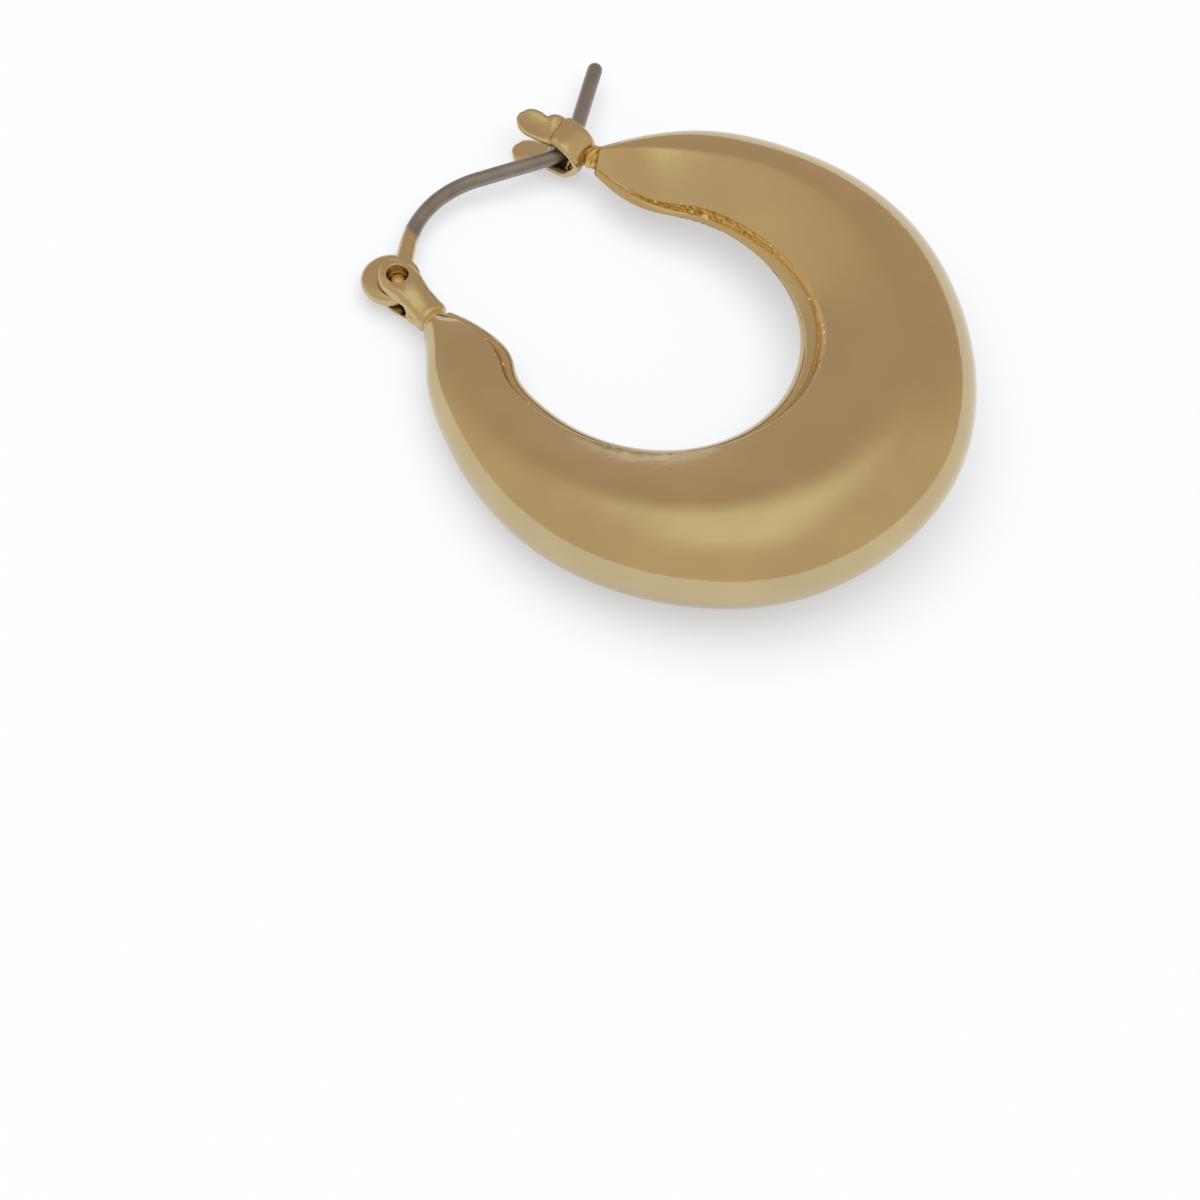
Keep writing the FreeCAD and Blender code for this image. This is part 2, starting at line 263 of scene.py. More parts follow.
def crescent_rings():
    angles = [SHOULDER_ANGLE * i / CURVED_STATIONS for i in range(1, CURVED_STATIONS + 1)]

    def half(end):
        rows = [curved_station(angle, end) for angle in angles] + [station(*row) for row in end["sections"]]
        return [(row, end["side"]) for row in rows]

    rows = half(HINGE_END)[::-1] + [(curved_station(0.0, CATCH_END), 1)] + half(CATCH_END)
    spots = np.array([(row["inner"] + row["across"] * row["width"] / 2) * (side, 1) for row, side in rows])
    walked = np.concatenate(([0], np.cumsum(np.linalg.norm(np.diff(spots, axis=0), axis=1))))
    for (row, _), length in zip(rows, walked):
        row["share"] = length / walked[-1]
    rings = np.array([ring(row, side) for row, side in rows])
    middle = rings.mean(axis=1)
    knots = np.concatenate(([0], np.cumsum(np.linalg.norm(np.diff(middle, axis=0), axis=1))))
    return knots, rings


BODY_ROWS = 600
CAP_ROWS = 10
CAP_LENGTH = 0.24
CAP_CORE = 0.1
HINGE_TRIM = 0.3
# Where the seam material's painted shade covers the whole step from crease to brow (from and to, as shares
# of the way along), and how many cells above the crease it covers elsewhere
WIDE_SEAM_SHADE_FROM = 0.45
WIDE_SEAM_SHADE_TO = 0.96
THIN_SEAM_SHADE_CELLS = 2
LUMPS_FROM = 0.73
LUMPS_TO = 0.93
LUMPS_FADE = 0.05
LUMP_HEIGHT = 0.1
LUMP_RAISE = 0.3
LUMP_LEAN = 0.7
LUMP_MARGIN = 2
LUMP_FAR_FADE = 3
COARSE_LUMPS = {"share": 0.6, "width": (3, 2)}
FINE_LUMPS = {"share": 0.4, "width": (1, 1)}
WAVER = 0.015


def end_frame(end):
    st = station(*end["sections"][-1])
    side = end["side"]
    middle = flat(st["inner"] + st["across"] * st["width"] / 2)
    middle.x *= side
    across = Vector((side * st["across"][0], st["across"][1], 0))
    return middle, Vector((-side * across.y, side * across.x, 0))


def cap_rows(last, end):
    forward = np.array(end_frame(end)[1])
    middle = last.mean(axis=0)
    rows = []
    for i in range(1, CAP_ROWS + 1):
        a = math.radians(90) * i / CAP_ROWS
        size = CAP_CORE + (1 - CAP_CORE) * math.cos(a)
        rows.append(middle + (last - middle) * size + forward * CAP_LENGTH * math.sin(a))
    return rows


def soft_noise(shape, width):
    """Random numbers from -1 to 1, smoothed along each axis over the given widths."""
    field = rng.random(shape)

    def blurred(row, reach, kernel):
        return np.convolve(np.pad(row, reach, "wrap"), kernel, "valid")

    for axis, reach in enumerate(width):
        field = np.apply_along_axis(blurred, axis, field, reach, np.hanning(2 * reach + 1))
    return 2 * (field - field.min()) / (field.max() - field.min()) - 1


def solder_lumps(rows):
    """Roughens the riser between crease and brow, mostly on the inside of the catch half."""
    rows = np.array(rows)
    count, size = rows.shape[:2]
    share = np.linspace(0, 1, count)
    rising = [smooth_step((s - LUMPS_FROM) / LUMPS_FADE) for s in share]
    falling = [smooth_step((LUMPS_TO - s) / LUMPS_FADE) for s in share]
    rough = np.array(rising) * np.array(falling)
    middle = rows.mean(axis=1)
    reach = BROW - CREASE + LUMP_MARGIN + LUMP_FAR_FADE
    for sign, start in ((1, CREASE - LUMP_MARGIN), (-1, size - CREASE + LUMP_MARGIN)):
        coarse = COARSE_LUMPS["share"] * soft_noise((count, reach), COARSE_LUMPS["width"])
        field = coarse + FINE_LUMPS["share"] * soft_noise((count, reach), FINE_LUMPS["width"])
        for k in range(reach):
            j = start + sign * k
            fade = smooth_step(min(k / LUMP_MARGIN, (reach - 1 - k) / LUMP_FAR_FADE))
            inward = rows[:, j] - middle
            inward[:, 2] = 0
            inward /= np.linalg.norm(inward, axis=1)[:, None]
            out = inward * LUMP_LEAN + np.array((0, 0, sign * LUMP_LEAN))
            lumpy = rough * LUMP_HEIGHT * (field[:, k] + LUMP_RAISE)
            lift = (lumpy + (1 - rough) * WAVER * field[:, k]) * fade
            rows[:, j] += out * lift[:, None]
    return list(rows)


def hoop_shell():
    knots, rings = crescent_rings()
    rows = list(spline(knots, rings, np.linspace(HINGE_TRIM, knots[-1], BODY_ROWS)))
    rows = solder_lumps(rows)
    rows = cap_rows(rows[0], HINGE_END)[::-1] + rows + cap_rows(rows[-1], CATCH_END)
    bm = bmesh.new()
    skin(bm, rows)
    shell = finished("hoop_shell", bm)
    size = len(rows[0])
    walls = size * (len(rows) - 1)
    # Painted shade and painted glints: faces on the step between crease and brow take the second material,
    # a darker gold with lighter specks, over a wide band on part of the way and a thin one elsewhere
    for k, poly in enumerate(shell.data.polygons[:walls]):
        share = (k // size - CAP_ROWS) / BODY_ROWS
        top = BROW if WIDE_SEAM_SHADE_FROM < share < WIDE_SEAM_SHADE_TO else CREASE + THIN_SEAM_SHADE_CELLS
        place = k % size
        poly.material_index = int(CREASE - 1 <= min(place, size - 1 - place) < top)
    return shell


# Ear wire
WIRE_SIDES = 40
ARC_STEPS = 40
RUN_STEP = 0.25
TIP_RINGS = 10
CLOSING_TURN = 88
WIRE_START = 0.9
STEM_FLARE = 0.1
STEM_LENGTH = 5.5


def route():
    corners = [flat(PIN_CENTRE), flat(CROWN), flat(KINK), flat(TIP)]
    points = [corners[0]]
    bends = (CROWN_RADIUS, KINK_RADIUS)
    for before, corner, after, bend in zip(corners, corners[1:], corners[2:], bends):
        back, ahead = (before - corner).normalized(), (after - corner).normalized()
        half = back.angle(ahead) / 2
        centre = corner + (back + ahead).normalized() * (bend / math.sin(half))
        first = corner + back * (bend / math.tan(half)) - centre
        last = corner + ahead * (bend / math.tan(half)) - centre
        sweep = first.angle(last)
        for i in range(ARC_STEPS + 1):
            t = i / ARC_STEPS
            arm = (first * math.sin((1 - t) * sweep) + last * math.sin(t * sweep)) / math.sin(sweep)
            points.append(centre + arm)
    points.append(corners[-1])
    fine = [points[0]]
    for a, b in zip(points, points[1:]):
        steps = max(1, round((b - a).length / RUN_STEP))
        fine += [a.lerp(b, i / steps) for i in range(1, steps + 1)]
    return fine


def ear_wire():
    points = route()
    end = points[-1]
    along = (points[-1] - points[-2]).normalized()
    start = points[0]
    body = [p for p in points[1:] if (p - start).length > WIRE_START]
    body = [p for p in body if (p - end).dot(along) < -WIRE_RADIUS]
    radii = [WIRE_RADIUS + STEM_FLARE * smooth_step(1 - (p - start).length / STEM_LENGTH) for p in body]
    for i in range(TIP_RINGS):
        a = math.radians(CLOSING_TURN) * i / (TIP_RINGS - 1)
        body.append(end - along * WIRE_RADIUS * (1 - math.sin(a)))
        radii.append(WIRE_RADIUS * math.cos(a))
    rings = []
    for i, (p, r) in enumerate(zip(body, radii)):
        ahead = (body[min(i + 1, len(body) - 1)] - body[max(i - 1, 0)]).normalized()
        square = Vector((-ahead.y, ahead.x, 0))
        angles = [2 * math.pi * j / WIRE_SIDES for j in range(WIRE_SIDES)]
        circle = [(r * math.cos(a), r * math.sin(a)) for a in angles]
        rings.append([p + square * u + Vector((0, 0, v)) for u, v in circle])
    bm = bmesh.new()
    skin(bm, rings)
    return finished("bent_wire", bm)


EYE_SIDES = 128
EYE_ROWS = 40
EYE_SQUARENESS = 0.85


def wire_eye():
    hole = PIN_RADIUS + PIN_CLEARANCE
    bm = bmesh.new()
    rings = []
    for i in range(EYE_SIDES):
        angle = 2 * math.pi * i / EYE_SIDES
        out = Vector((math.cos(angle), math.sin(angle), 0))
        inner, outer = flat(PIN_CENTRE) + out * hole, flat(EYE_CENTRE) + out * EYE_RADIUS
        spots = []
        for j in range(EYE_ROWS):
            c, s = squared(2 * math.pi * j / EYE_ROWS, EYE_SQUARENESS)
            spot = inner.lerp(outer, 0.5 + 0.5 * c) + Vector((0, 0, EYE_HALF_HEIGHT * s))
            spots.append(bm.verts.new(spot))
        rings.append(spots)
    bridge(bm, rings, closed=True)
    return finished("wire_eye", bm)


PIN_HEAD = 0.72
PIN_DOME = 0.2
PIN_ROWS = 12
PIN_SIDES = 48


def rivet():
    bm = bmesh.new()
    heights = []
    for i in range(PIN_ROWS):
        a = math.radians(CLOSING_TURN) * i / (PIN_ROWS - 1)
        heights.append((PIN_RADIUS * math.cos(a), PIN_HEAD - PIN_DOME + PIN_DOME * math.sin(a)))
    profile = [(r, -z) for r, z in heights[::-1]] + heights
    rings = []
    for r, z in profile:
        angles = [2 * math.pi * j / PIN_SIDES for j in range(PIN_SIDES)]
        rings.append([flat(PIN_CENTRE, z) + Vector((r * math.cos(a), r * math.sin(a), 0)) for a in angles])
    skin(bm, rings)
    return finished("rivet", bm)


# Fork: cast in one piece, two round ears on a root that narrows to the neck
FORK_BASE = (-7.68, 13.75)
FORK_VOXEL = 0.035
FORK_SMOOTHING = 10
EAR_SQUARENESS = 0.5
ROOT_SQUARENESS = 0.9
RIDGE_HEIGHT = 0.12
RIDGE_SIDE = -0.75
RIDGE_HALF_WIDTH = 0.22
RIDGE_FROM, RIDGE_RISE = 0.2, 0.6
RIDGE_TO, RIDGE_FALL = 3.0, 0.5
RIDGE_WAVE, RIDGE_WAVES = 0.2, 7
FORK_ROWS = 60
FORK_END = 3.36
FORK_NOSE_SHARE = 0.995
FORK_WAIST, FORK_WAIST_LENGTH = 0.16, 2.8
FORK_THIN_FROM, FORK_THIN_LENGTH = 0.7, 2.2
FORK_ROUND_FROM, FORK_ROUND_LENGTH = 0.6, 1.2
FORK_CLOSE_LENGTH, FORK_CLOSE_SIZE = 0.45, 0.62
EAR_RADIUS = 1.2
EAR_HALF_HEIGHT = 1.2
ROOT_HALF_HEIGHT = 0.86
SLOT_HALF = 0.53
SLOT_DEPTH = 1.5
SLOT_MOUTH = -2.0
CUTTER_REACH = 2
CUTTER_MARGIN = 0.01
SINK_RADIUS = 0.68
SINK_FLOOR = 0.62


def blob(bm, centre, radii, toward=Vector((0, 0, 1))):
    rot = Vector((0, 0, 1)).rotation_difference(toward).to_matrix().to_4x4()
    size = Matrix.Diagonal((*radii, 1))
    place = Matrix.Translation(centre) @ rot @ size
    bmesh.ops.create_icosphere(bm, subdivisions=4, radius=1.0, matrix=place)


def cone(bm, centre, low, high, depth):
    bmesh.ops.create_cone(
        bm, cap_ends=True, segments=64, radius1=low, radius2=high, depth=depth,
        matrix=Matrix.Translation(centre),
    )


def scratch(bm):
    mesh = bpy.data.meshes.new("scratch")
    bmesh.ops.recalc_face_normals(bm, faces=bm.faces)
    bm.to_mesh(mesh)
    bm.free()
    obj = bpy.data.objects.new("scratch", mesh)
    bpy.context.scene.collection.objects.link(obj)
    return obj


def carved(bm, cutters, voxel, smoothing):
    """The mesh less its cutters, joined into one skin and smoothed, as a new bmesh."""
    obj = scratch(bm)
    tools = [scratch(cutter) for cutter in cutters]
    for tool in tools:
        cut = obj.modifiers.new("cut", "BOOLEAN")
        cut.operation = "DIFFERENCE"
        cut.solver = "EXACT"
        cut.object = tool
    remesh = obj.modifiers.new("remesh", "REMESH")
    remesh.mode = "VOXEL"
    remesh.voxel_size = voxel
    smooth = obj.modifiers.new("smooth", "SMOOTH")
    smooth.factor = 0.5
    smooth.iterations = smoothing
    bpy.context.view_layer.update()
    done = bpy.data.meshes.new_from_object(obj.evaluated_get(bpy.context.evaluated_depsgraph_get()))
    for used in [obj] + tools:
        bpy.data.objects.remove(used)
    fresh = bmesh.new()
    fresh.from_mesh(done)
    return fresh


def rounded_box_ring(centre, side, half_width, half_height, squareness, count=48):
    spots = []
    for j in range(count):
        c, s = squared(2 * math.pi * j / count, squareness)
        spots.append(centre + side * (half_width * c) + Vector((0, 0, half_height * s)))
    return spots


def fork_axes():
    pin = flat(PIN_CENTRE)
    along = (flat(FORK_BASE) - pin).normalized()
    return pin, along, Vector((-along.y, along.x, 0))


def fork_section(s):
    """Half width, half height, squareness and ridge height of the fork at a distance from the pin."""
    ear = EAR_RADIUS * math.sqrt(1 - (min(s, 0) / EAR_RADIUS) ** 2)
    wide = ear - FORK_WAIST * smooth_step(s / FORK_WAIST_LENGTH)
    thinner = (EAR_HALF_HEIGHT - ROOT_HALF_HEIGHT) * smooth_step((s - FORK_THIN_FROM) / FORK_THIN_LENGTH)
    tall = EAR_HALF_HEIGHT - thinner
    close = max(s - FORK_END + FORK_CLOSE_LENGTH, 0) / FORK_CLOSE_LENGTH
    shrink = FORK_CLOSE_SIZE + (1 - FORK_CLOSE_SIZE) * math.sqrt(max(1 - close ** 2, 0))
    rounder = smooth_step((s - FORK_ROUND_FROM) / FORK_ROUND_LENGTH)
    square = EAR_SQUARENESS + (ROOT_SQUARENESS - EAR_SQUARENESS) * rounder
    ridge = RIDGE_HEIGHT * smooth_step((s - RIDGE_FROM) / RIDGE_RISE)
    ridge *= smooth_step((RIDGE_TO - s) / RIDGE_FALL)
    ridge *= 1 - RIDGE_WAVE + RIDGE_WAVE * math.sin(RIDGE_WAVES * s)
    return wide * shrink, tall * shrink, square, ridge


def hinge_fork():
    pin, along, side = fork_axes()
    nose = EAR_RADIUS * FORK_NOSE_SHARE
    rings = []
    for i in range(FORK_ROWS):
        t = i / (FORK_ROWS - 1)
        s = -nose + (FORK_END + nose) * t
        wide, tall, square, height = fork_section(s)
        spots = rounded_box_ring(pin + along * s, side, wide, tall, square)
        for spot in spots:
            away = ((spot - pin - along * s).dot(side) - RIDGE_SIDE) / RIDGE_HALF_WIDTH
            spot.z += height * math.exp(-away ** 2) * (spot.z > 0)
        rings.append(spots)
    bm = bmesh.new()
    skin(bm, rings)
    slot = bmesh.new()
    around = [math.radians(a) for a in range(10, 180, 10)]
    spots = [(SLOT_MOUTH, -1), (SLOT_DEPTH, -1)]
    spots += [(SLOT_DEPTH + SLOT_HALF * math.sin(a), -math.cos(a)) for a in around]
    spots += [(SLOT_DEPTH, 1), (SLOT_MOUTH, 1)]
    section = [pin + along * s + Vector((0, 0, z * SLOT_HALF)) for s, z in spots]
    skin(slot, [[p - side * CUTTER_REACH for p in section], [p + side * CUTTER_REACH for p in section]])
    hole_radius = PIN_RADIUS + PIN_CLEARANCE
    hole = bmesh.new()
    cone(hole, pin, hole_radius, hole_radius, 2 * CUTTER_REACH)
    cutters = [slot, hole]
    depth = EAR_HALF_HEIGHT - SINK_FLOOR
    for sign in (1, -1):
        sink = bmesh.new()
        middle = pin + Vector((0, 0, sign * (SINK_FLOOR + depth / 2 + CUTTER_MARGIN)))
        cone(sink, middle, *(hole_radius, SINK_RADIUS)[::sign], depth + 2 * CUTTER_MARGIN)
        cutters.append(sink)
    return finished("hinge_fork", carved(bm, cutters, FORK_VOXEL, FORK_SMOOTHING))


NECK_RADII = (0.84, 0.84, 0.62)
FILLET_PLACE = (2.27, -0.93)
FILLET_RADII = (0.22, 0.36, 0.42)


def fork_neck():
    """Solder between the fork and the crescent, and beside the bottom of the slot."""
    middle, forward = end_frame(HINGE_END)
    pin, along, side = fork_axes()
    bm = bmesh.new()
    blob(bm, middle, NECK_RADII, forward)
    blob(bm, pin + along * FILLET_PLACE[0] + side * FILLET_PLACE[1], FILLET_RADII, along)
    return finished("fork_neck", carved(bm, [], FORK_VOXEL, FORK_SMOOTHING))


# Catch: one strip folded in two, with thick rounded edges
CATCH_ORIGIN = (6.46, 15.8)
TONGUE_HALF_SHEET = 0.2
FOLD_HALF_SHEET = 0.27
STRIP_SLANT = 0.2
STRIP_SIDES = 48
STRIP_EDGE = 0.75
STRIP_SPREAD = 0.5
STRIP_STEPS = 220
THIN_BEYOND = 17.2
THIN_OVER = 0.5
# Sizes and reaches of the rings that round off each end of the strip
STRIP_CLOSING = ((0.9, 0.05), (0.65, 0.1), (0.3, 0.13))
# Stations of the strip from the tip of a leaf to the back of the fold: place of the middle line, height
# over the wire's plane, half width, and how deep the leaf is dished
LEAF = [
    {"spot": (5.40, 18.92), "height": 1.27, "half": 0.34, "dish": 0.00},
    {"spot": (5.45, 18.78), "height": 1.26, "half": 0.60, "dish": 0.05},
    {"spot": (5.55, 18.52), "height": 1.23, "half": 0.84, "dish": 0.10},
    {"spot": (5.66, 18.20), "height": 1.18, "half": 0.94, "dish": 0.14},
    {"spot": (5.75, 17.88), "height": 1.11, "half": 0.93, "dish": 0.14},
    {"spot": (5.86, 17.55), "height": 1.03, "half": 0.91, "dish": 0.12},
    {"spot": (6.06, 17.22), "height": 0.94, "half": 0.95, "dish": 0.08},
    {"spot": (6.33, 16.99), "height": 0.86, "half": 1.02, "dish": 0.03},
    {"spot": (6.44, 16.84), "height": 0.76, "half": 1.08, "dish": 0.00},
    {"spot": (6.45, 16.72), "height": 0.74, "half": 1.08, "dish": 0.00},
    {"spot": (6.46, 16.62), "height": 0.92, "half": 1.09, "dish": 0.00},
    {"spot": (6.47, 16.36), "height": 0.96, "half": 1.10, "dish": 0.00},
    {"spot": (6.50, 15.92), "height": 0.93, "half": 1.10, "dish": -0.03},
    {"spot": (6.55, 15.50), "height": 0.83, "half": 1.10, "dish": -0.03},
    {"spot": (6.62, 15.12), "height": 0.58, "half": 1.10, "dish": 0.00},
    {"spot": (6.66, 14.88), "height": 0.28, "half": 1.10, "dish": 0.00},
]
FOLD_BACK = {"spot": (6.68, 14.80), "height": 0.0, "half": 1.10, "dish": 0.0}


def catch_rows():
    rows = [(*r["spot"], r["height"], r["half"], r["dish"]) for r in LEAF]
    rows.append((*FOLD_BACK["spot"], FOLD_BACK["height"], FOLD_BACK["half"], FOLD_BACK["dish"]))
    rows += [(r["spot"][0], r["spot"][1], -r["height"], r["half"], -r["dish"]) for r in LEAF[::-1]]
    rows = np.array(rows)
    rows[:, 0] += STRIP_SLANT * rows[:, 2]
    knots = np.concatenate(([0], np.cumsum(np.linalg.norm(np.diff(rows[:, :3], axis=0), axis=1))))
    return spline(knots, rows, np.linspace(0, knots[-1], STRIP_STEPS))


def folded_catch():
    rows = catch_rows()
    back = (flat(CATCH_ORIGIN) - flat(FOLD_BACK["spot"])).normalized()
    across = Vector((back.y, -back.x, 0))
    rings = []
    for i, (x, y, z, half, dish) in enumerate(rows):
        a, b = rows[max(i - 1, 0)], rows[min(i + 1, len(rows) - 1)]
        along = Vector(b[:3] - a[:3]).normalized()
        side = (across - along * across.dot(along)).normalized()
        up = side.cross(along)
        thick = smooth_step((THIN_BEYOND - y) / THIN_OVER)
        sheet = TONGUE_HALF_SHEET + (FOLD_HALF_SHEET - TONGUE_HALF_SHEET) * thick
        spots = []
        for j in range(STRIP_SIDES):
            c, s = squared(2 * math.pi * (j + 0.5) / STRIP_SIDES, STRIP_EDGE)
            w = half * math.copysign(abs(c) ** STRIP_SPREAD, c)
            bow = -dish * (1 - (w / half) ** 2)
            spots.append(Vector((x, y, z)) + side * w + up * (sheet * s) + Vector((0, 0, bow)))
        rings.append(spots)

    def closing(rim, edge, beyond):
        heart = sum(rim, Vector()) / len(rim)
        out = (Vector(edge[:3]) - Vector(beyond[:3])).normalized()
        return [[heart + (p - heart) * size + out * reach for p in rim] for size, reach in STRIP_CLOSING]

    first, last = closing(rings[0], rows[0], rows[1]), closing(rings[-1], rows[-1], rows[-2])
    bm = bmesh.new()
    skin(bm, first[::-1] + rings + last)
    return finished("folded_catch", bm)


# Bead soldered between the catch and the crescent: a short bar that swells in the middle
BEAD_START = (7.08, 13.92)
BEAD_STOP = (7.20, 14.66)
BEAD_ROWS = 44
BEAD_WAIST = 0.62
BEAD_RADIUS = 0.80
BEAD_SWELL_FROM = 0.2
BEAD_SWELL_SPAN = 0.6
BEAD_SWELL_POWER = 0.7
BEAD_FLATNESS = 0.95


def solder_bead():
    start, reach = flat(BEAD_START), flat(BEAD_STOP) - flat(BEAD_START)
    side = Vector((reach.y, -reach.x, 0)).normalized()
    rings = []
    for i in range(BEAD_ROWS):
        t = i / (BEAD_ROWS - 1)
        place = min(max((t - BEAD_SWELL_FROM) / BEAD_SWELL_SPAN, 0), 1)
        swell = math.sin(math.pi * place) ** BEAD_SWELL_POWER
        r = BEAD_WAIST + (BEAD_RADIUS - BEAD_WAIST) * swell
        rings.append(rounded_box_ring(start + reach * t, side, r, r * BEAD_FLATNESS, 1.0))
    bm = bmesh.new()
    skin(bm, rings)
    return finished("solder_bead", bm)


# Materials
GOLD = (0.53, 0.42, 0.235)
SOLDER_GOLD = (0.62, 0.42, 0.15)
# Painted shade: a darker, more saturated gold on the crease step that stands in for the double reflections
# there
SEAM_SHADE_GOLD = (0.5, 0.3, 0.085)
# Painted highlights: the lighter gold of the bright specks on the crease step
GLINT_GOLD = (0.95, 0.74, 0.3)
STEEL = (0.27, 0.25, 0.235)
RAMP_FROM, RAMP_TO = 0.35, 0.65
TINT_SCALE, HAZE_SCALE, GLINT_SCALE = 240.0, 700.0, 2100.0
TINT_SPREAD = 0.03
GLINT_EDGE = 0.08


def material(name):
    mat = bpy.data.materials.new(name)
    mat.use_nodes = True
    nodes, links = mat.node_tree.nodes, mat.node_tree.links
    shader = nodes["Principled BSDF"]
    shader.inputs["Metallic"].default_value = 1.0
    return mat, nodes, links, shader, nodes.new("ShaderNodeTexCoord").outputs["Object"]


def noise(nodes, links, coords, scale, detail=2.0):
    tex = nodes.new("ShaderNodeTexNoise")
    tex.inputs["Scale"].default_value = scale
    tex.inputs["Detail"].default_value = detail
    links.new(coords, tex.inputs["Vector"])
    return tex.outputs["Fac"]


def ramp(nodes, links, source, low, high):
    node = nodes.new("ShaderNodeValToRGB")
    for element, place, color in zip(node.color_ramp.elements, (RAMP_FROM, RAMP_TO), (low, high)):
        element.position = place
        element.color = (*color, 1)
    links.new(source, node.inputs["Fac"])
    return node.outputs["Color"]


def grey(value):
    return (value, value, value)


def scaled(color, factor):
    return tuple(min(c * factor, 1.0) for c in color)


def bumpy(nodes, links, shader, layers):
    """Bumps on top of each other: noise source and height in metres for each."""
    normal = None
    for source, height in layers:
        bump = nodes.new("ShaderNodeBump")
        bump.inputs["Strength"].default_value = 1.0
        bump.inputs["Distance"].default_value = height
        links.new(source, bump.inputs["Height"])
        if normal:
            links.new(normal, bump.inputs["Normal"])
        normal = bump.outputs["Normal"]
    links.new(normal, shader.inputs["Normal"])


def mixed(nodes, links, source, low=None, high=None):
    """Colour mix driven by a source, with the sockets for its two colours and its result."""
    mix = nodes.new("ShaderNodeMix")
    mix.data_type = "RGBA"
    links.new(source, mix.inputs["Factor"])
    for socket, color in ((mix.inputs[6], low), (mix.inputs[7], high)):
        if color:
            socket.default_value = (*color, 1)
    return mix.inputs[6], mix.inputs[7], mix.outputs[2]


def plated(name, color, rough, bumps, glints=0.0):
    """Plated metal. With glints, bright specks of lighter gold are painted into the colour as painted
    highlights, standing in for the sparkle of a rough seam.
    """
    mat, nodes, links, shader, coords = material(name)
    low, high = scaled(color, 1 - TINT_SPREAD), scaled(color, 1 + TINT_SPREAD)
    tint = ramp(nodes, links, noise(nodes, links, coords, TINT_SCALE, 3.0), low, high)
    if glints:
        # Painted highlights: where the noise passes the threshold, the colour turns to the lighter glint
        # gold
        spark = nodes.new("ShaderNodeMapRange")
        spark.interpolation_type = "SMOOTHSTEP"
        spark.inputs["From Min"].default_value = glints
        spark.inputs["From Max"].default_value = glints + GLINT_EDGE
        links.new(noise(nodes, links, coords, GLINT_SCALE, 1.0), spark.inputs["Value"])
        plain_side, _, result = mixed(nodes, links, spark.outputs["Result"], high=GLINT_GOLD)
        links.new(tint, plain_side)
        tint = result
    links.new(tint, shader.inputs["Base Color"])
    haze = noise(nodes, links, coords, HAZE_SCALE, 4.0)
    links.new(ramp(nodes, links, haze, grey(rough[0]), grey(rough[1])), shader.inputs["Roughness"])
    layers = [(noise(nodes, links, coords, scale), height) for scale, height in bumps]
    bumpy(nodes, links, shader, layers)
    return mat


# The wire is plated next to the hinge, up to a ragged edge, and bare steel beyond it
PLATED_TO = (-4.2, 18.4)
EDGE_WOBBLE = 0.0006
EDGE_FROM, EDGE_OVER = 0.00015, 0.00045
PLATED_ROUGHNESS, BARE_ROUGHNESS = 0.14, 0.42
STEEL_SPREAD = 0.1


def wire_material():
    mat, nodes, links, shader, coords = material("bare_wire")
    split = nodes.new("ShaderNodeSeparateXYZ")
    links.new(coords, split.inputs["Vector"])
    edge = lay @ flat(PLATED_TO)
    wobble = nodes.new("ShaderNodeMath")
    wobble.operation = "MULTIPLY_ADD"
    wobble.inputs[1].default_value = EDGE_WOBBLE
    links.new(noise(nodes, links, coords, 900.0, 2.0), wobble.inputs[0])
    links.new(split.outputs["X"], wobble.inputs[2])
    mask = nodes.new("ShaderNodeMapRange")
    mask.inputs["From Min"].default_value = edge.x + EDGE_FROM
    mask.inputs["From Max"].default_value = edge.x + EDGE_OVER
    links.new(wobble.outputs[0], mask.inputs["Value"])
    low, high = scaled(STEEL, 1 - STEEL_SPREAD), scaled(STEEL, 1 + STEEL_SPREAD)
    steel = ramp(nodes, links, noise(nodes, links, coords, 800.0, 4.0), low, high)
    _, bare_side, result = mixed(nodes, links, mask.outputs["Result"], low=GOLD)
    links.new(steel, bare_side)
    links.new(result, shader.inputs["Base Color"])
    rough = nodes.new("ShaderNodeMapRange")
    rough.inputs["To Min"].default_value = PLATED_ROUGHNESS
    rough.inputs["To Max"].default_value = BARE_ROUGHNESS
    links.new(mask.outputs["Result"], rough.inputs["Value"])
    links.new(rough.outputs["Result"], shader.inputs["Roughness"])
    bumpy(nodes, links, shader, [(noise(nodes, links, coords, 2500.0, 4.0), 0.00001)])
    return mat


# Studio
# The floor gives off most of its own light, so that shadows on it stay faint
FLOOR_GLOW = (0.50, 0.505, 0.515, 1)
FLOOR_COLOR = (0.24, 0.24, 0.24, 1)
FLOOR_ROUGHNESS = 0.9
FLOOR_SIZE = 3.0


def floor():
    bpy.ops.mesh.primitive_plane_add(size=FLOOR_SIZE, location=(0, 0, 0))
    obj = bpy.context.object
    obj.name = "floor"
    mat = bpy.data.materials.new("floor_look")
    mat.use_nodes = True
    shader = mat.node_tree.nodes["Principled BSDF"]
    shader.inputs["Base Color"].default_value = FLOOR_COLOR
    shader.inputs["Emission Color"].default_value = FLOOR_GLOW
    shader.inputs["Emission Strength"].default_value = 1.0
    shader.inputs["Roughness"].default_value = FLOOR_ROUGHNESS
    shader.inputs["Specular IOR Level"].default_value = 0.0
    obj.data.materials.append(mat)


FAR_TONE = (0.65, 0.54, 0.45)
NEAR_TONE = (0.81, 0.71, 0.55)
TOP_TONE = (1.04, 1.02, 0.84)

# Edges of the top light's strip, as shares of a direction towards the side and towards the camera
TOP_LEFT = (-0.55, -0.12)
TOP_RIGHT = (0.52, 0.0)
TOP_FAR = (-0.62, -0.10)
TOP_NEAR = (0.80, 0.08)
# Edges of the passage from the far walls to the near ones, along the same direction towards the camera
WALL_TURN = (-0.75, -0.05)
FILL_POWER = 4.77
FILL_COLOR = (0.805, 0.878, 1.0)
FILL_ANGLE = 70


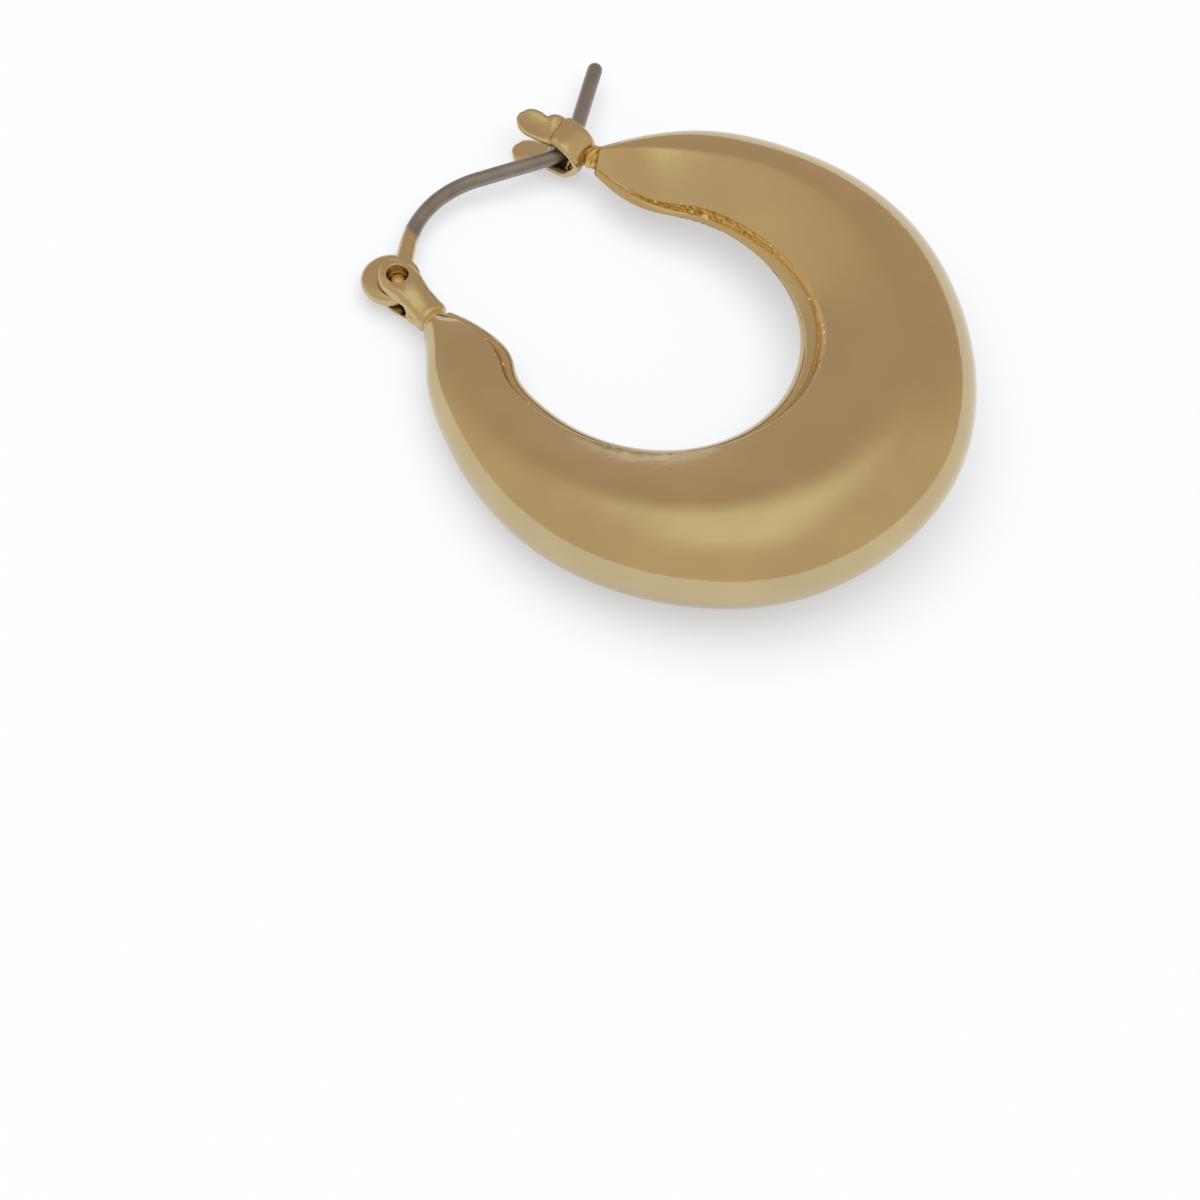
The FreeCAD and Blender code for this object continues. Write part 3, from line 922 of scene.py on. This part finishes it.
def studio():
    """Soft light all round: dim warm walls opposite the camera, lighter ones behind it, a top strip."""
    world = bpy.data.worlds.new("studio")
    bpy.context.scene.world = world
    world.use_nodes = True
    nodes, links = world.node_tree.nodes, world.node_tree.links
    coords = nodes.new("ShaderNodeTexCoord").outputs["Generated"]

    def glow(toward, start, stop):
        dot = nodes.new("ShaderNodeVectorMath")
        dot.operation = "DOT_PRODUCT"
        dot.inputs[1].default_value = toward
        links.new(coords, dot.inputs[0])
        curve = nodes.new("ShaderNodeMapRange")
        curve.interpolation_type = "SMOOTHERSTEP"
        curve.inputs["From Min"].default_value = start
        curve.inputs["From Max"].default_value = stop
        links.new(dot.outputs["Value"], curve.inputs["Value"])
        return curve.outputs["Result"]

    def product(a, b):
        node = nodes.new("ShaderNodeMath")
        node.operation = "MULTIPLY"
        links.new(a, node.inputs[0])
        links.new(b, node.inputs[1])
        return node.outputs[0]

    turned = math.radians(VIEW_TURN)
    near = turn @ Vector((-math.sin(turned), -math.cos(turned), 0))
    near.z = 0
    near.normalize()
    side = Vector((-near.y, near.x, 0))
    _, _, walls = mixed(nodes, links, glow(near, *WALL_TURN), FAR_TONE, NEAR_TONE)
    strip = product(
        product(glow(side, *TOP_LEFT), glow(side, *TOP_RIGHT)),
        product(glow(near, *TOP_FAR), glow(near, *TOP_NEAR)),
    )
    wall_side, _, sky = mixed(nodes, links, strip, high=TOP_TONE)
    links.new(walls, wall_side)
    links.new(sky, nodes["Background"].inputs["Color"])
    lamp = bpy.data.lights.new("fill", "SUN")
    lamp.energy = FILL_POWER
    lamp.color = FILL_COLOR
    lamp.angle = math.radians(FILL_ANGLE)
    obj = bpy.data.objects.new("fill", lamp)
    obj.visible_glossy = False
    bpy.context.scene.collection.objects.link(obj)
    view = bpy.context.scene.view_settings
    view.view_transform = "Standard"
    view.look = "None"


set_camera()
body_gold = plated("plated_shell", GOLD, (0.09, 0.12), [(330.0, 0.00002), (1600.0, 0.000006)])
cast_gold = plated("plated_fitting", GOLD, (0.07, 0.12), [(900.0, 0.00004), (2600.0, 0.000015)])
solder_gold = plated("plated_solder", SOLDER_GOLD, (0.24, 0.3), [(700.0, 0.000006)])
# Crease step: painted shade as a darker gold, with painted glints as lighter specks
seam_shade_gold = plated("plated_seam_painted_shade", SEAM_SHADE_GOLD, (0.14, 0.24), [(2400.0, 0.00001)], glints=0.65)
steel = wire_material()
pieces = [
    (hoop_shell(), "hoop", [body_gold, seam_shade_gold], "gold_plate", "hoop_body"),
    (hinge_fork(), "hoop", [cast_gold], "gold_plate", "hoop_body"),
    (fork_neck(), "hoop", [solder_gold], "gold_plate", "hoop_body"),
    (folded_catch(), "hoop", [cast_gold], "gold_plate", "hoop_body"),
    (solder_bead(), "hoop", [solder_gold], "gold_plate", "hoop_body"),
    (rivet(), "hoop", [solder_gold], "gold_plate", "hinge_pin"),
    (ear_wire(), "wire", [steel], "steel_wire", "ear_wire"),
    (wire_eye(), "wire", [cast_gold], "gold_plate", "ear_wire"),
]
for piece, body, mats, slot, node in pieces:
    for mat in mats:
        piece.data.materials.append(mat)
    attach(piece, body)
    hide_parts(node)
floor()
studio()
